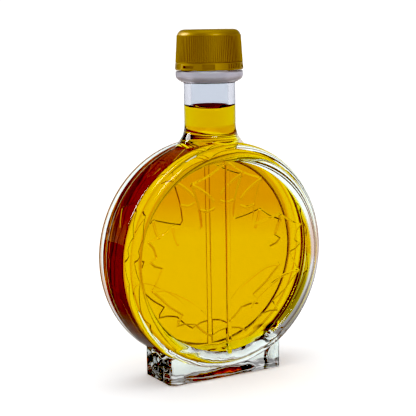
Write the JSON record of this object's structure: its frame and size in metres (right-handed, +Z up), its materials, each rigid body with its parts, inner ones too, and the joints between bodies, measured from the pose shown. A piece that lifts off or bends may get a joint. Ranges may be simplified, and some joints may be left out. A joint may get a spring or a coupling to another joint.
{
  "type": "glass syrup flask",
  "caption": "Round flat flask of clear glass on a block foot, full of amber syrup, with a maple leaf in relief on both faces and a ribbed gold screw cap.",
  "frame": {"origin": "middle of the foot's flat underside, on the surface that the flask stands on", "axes": "+Z up along the neck, X across the flask's face, Y through its thickness, with a leaf panel facing -Y and one facing +Y"},
  "size_m": [0.1002, 0.03, 0.1537],
  "materials": {
    "clear_glass": "clear, polished",
    "amber_syrup": "clear amber liquid",
    "gold_cap": "metallic gold, satin",
    "gold_band": "metallic gold, satin"
  },
  "bodies": {
    "root": {"bottle": "clear_glass", "syrup": "amber_syrup", "cap": "gold_cap", "tamper_band": "gold_band"}
  },
  "joints": []
}
